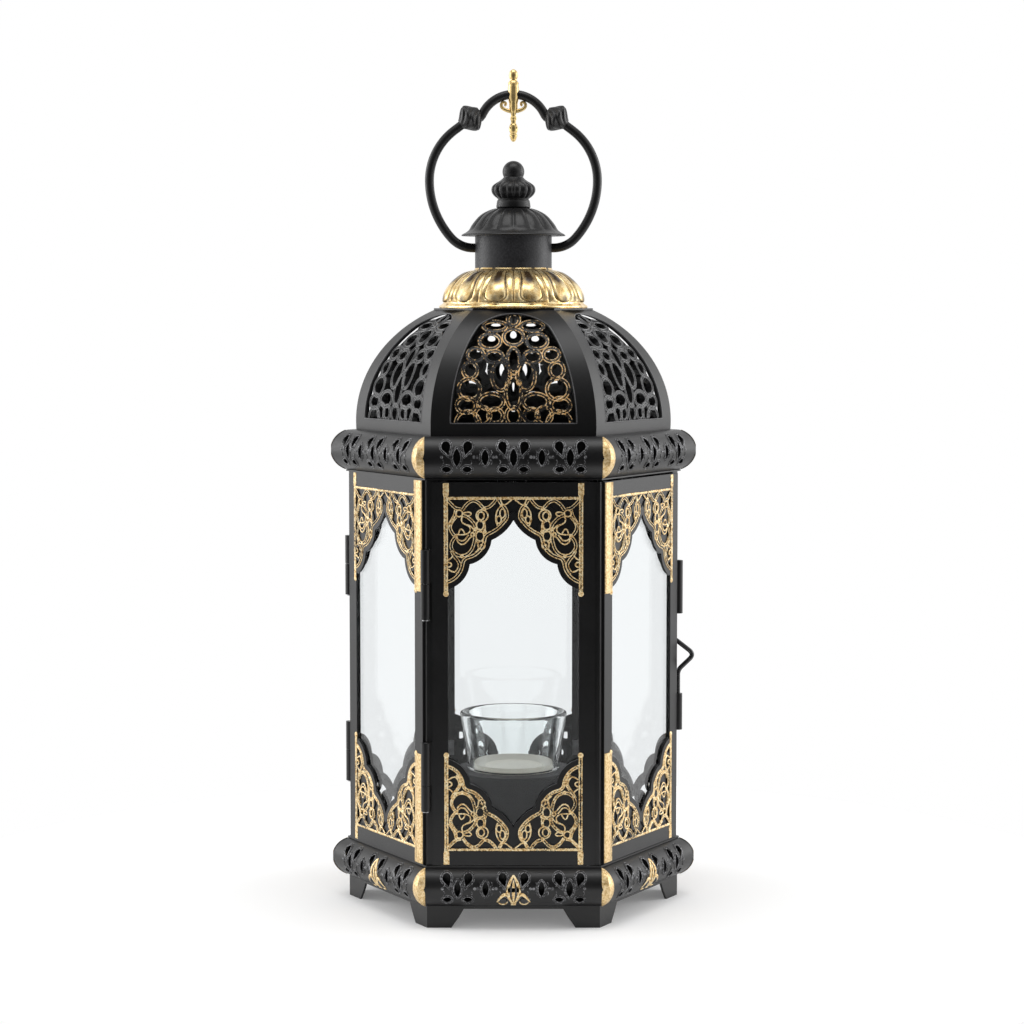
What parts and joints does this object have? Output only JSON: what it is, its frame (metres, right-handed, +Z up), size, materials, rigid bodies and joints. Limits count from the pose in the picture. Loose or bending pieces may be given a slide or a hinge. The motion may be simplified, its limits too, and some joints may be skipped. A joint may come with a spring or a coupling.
{
  "type": "candle lantern",
  "caption": "Hexagonal pierced-metal candle lantern with glazed sides, a two-panel hinged door with a wire latch, a gored dome, a loose glass cup on a stand and a swivelling bail.",
  "frame": {"origin": "middle of the plane that the six feet stand on", "axes": "+Z up, the front door panel faces -Y, the latch corner is on +X"},
  "size_m": [0.1832, 0.1586, 0.4157],
  "materials": {
    "black_metal": "satin powder coat with a fine grain",
    "gilded_black": "black paint with gold rubbed on the raised edges",
    "antique_gold": "antique gold with dark grooves",
    "brass": "satin",
    "steel": "satin",
    "clear_glass": "gloss"
  },
  "bodies": {
    "lantern": {"base_skirt": "black_metal", "floor_plate": "black_metal", "candle_stand": "black_metal", "stand_rivets": "steel", "lower_moulding": "black_metal", "upper_frame": "black_metal", "upper_moulding": "black_metal", "panel_right_back": "black_metal", "panel_back": "black_metal", "panel_left_back": "black_metal", "panel_left": "black_metal", "hinge_jamb": "black_metal", "latch_jamb": "black_metal", "corner_post_right_back": "black_metal", "corner_post_left_back": "black_metal", "corner_post_left": "black_metal", "glass_right_back": "clear_glass", "glass_back": "clear_glass", "glass_left_back": "clear_glass", "glass_left": "clear_glass", "fixed_clips": "steel", "corner_pins": "steel", "hinge_pins": "steel", "gore_front": "black_metal", "gore_right": "black_metal", "gore_right_back": "black_metal", "gore_back": "black_metal", "gore_left_back": "black_metal", "gore_left": "black_metal", "lattice_front": "gilded_black", "lattice_right": "black_metal", "lattice_right_back": "black_metal", "lattice_back": "black_metal", "lattice_left_back": "black_metal", "lattice_left": "black_metal", "crown_plate": "black_metal", "collar": "antique_gold", "neck_drum": "black_metal", "cap": "black_metal", "finial": "black_metal", "tie_stud": "steel", "stud_nut": "steel"},
    "door": {"door_front": "black_metal", "door_side": "black_metal", "door_corner_strip": "black_metal", "glass_front": "clear_glass", "glass_right": "clear_glass", "door_clips": "steel"},
    "latch": {"latch_wire": "black_metal"},
    "bail": {"bail_wire": "black_metal", "bead_right": "black_metal", "bead_left": "black_metal", "bail_ornament": "brass"},
    "cup": {"glass_cup": "clear_glass"}
  },
  "joints": [
    {"name": "door_swing", "type": "hinge", "parent": "lantern", "child": "door", "pos_m": [-0.042, -0.07275, 0.12], "axis": [0, 0, -1], "range_deg": [0, 150]},
    {"name": "latch_turn", "type": "hinge", "parent": "lantern", "child": "latch", "pos_m": [0.0831, 0, 0.12], "axis": [0, 0, 1], "range_deg": [0, 75]},
    {"name": "bail_swing", "type": "hinge", "parent": "lantern", "child": "bail", "pos_m": [0, 0, 0.32725], "axis": [1, 0, 0], "range_deg": [-118, 118]},
    {"name": "cup_lift", "type": "slide", "parent": "lantern", "child": "cup", "axis": [0, 0, 1], "range_m": [0, 0.09]}
  ]
}
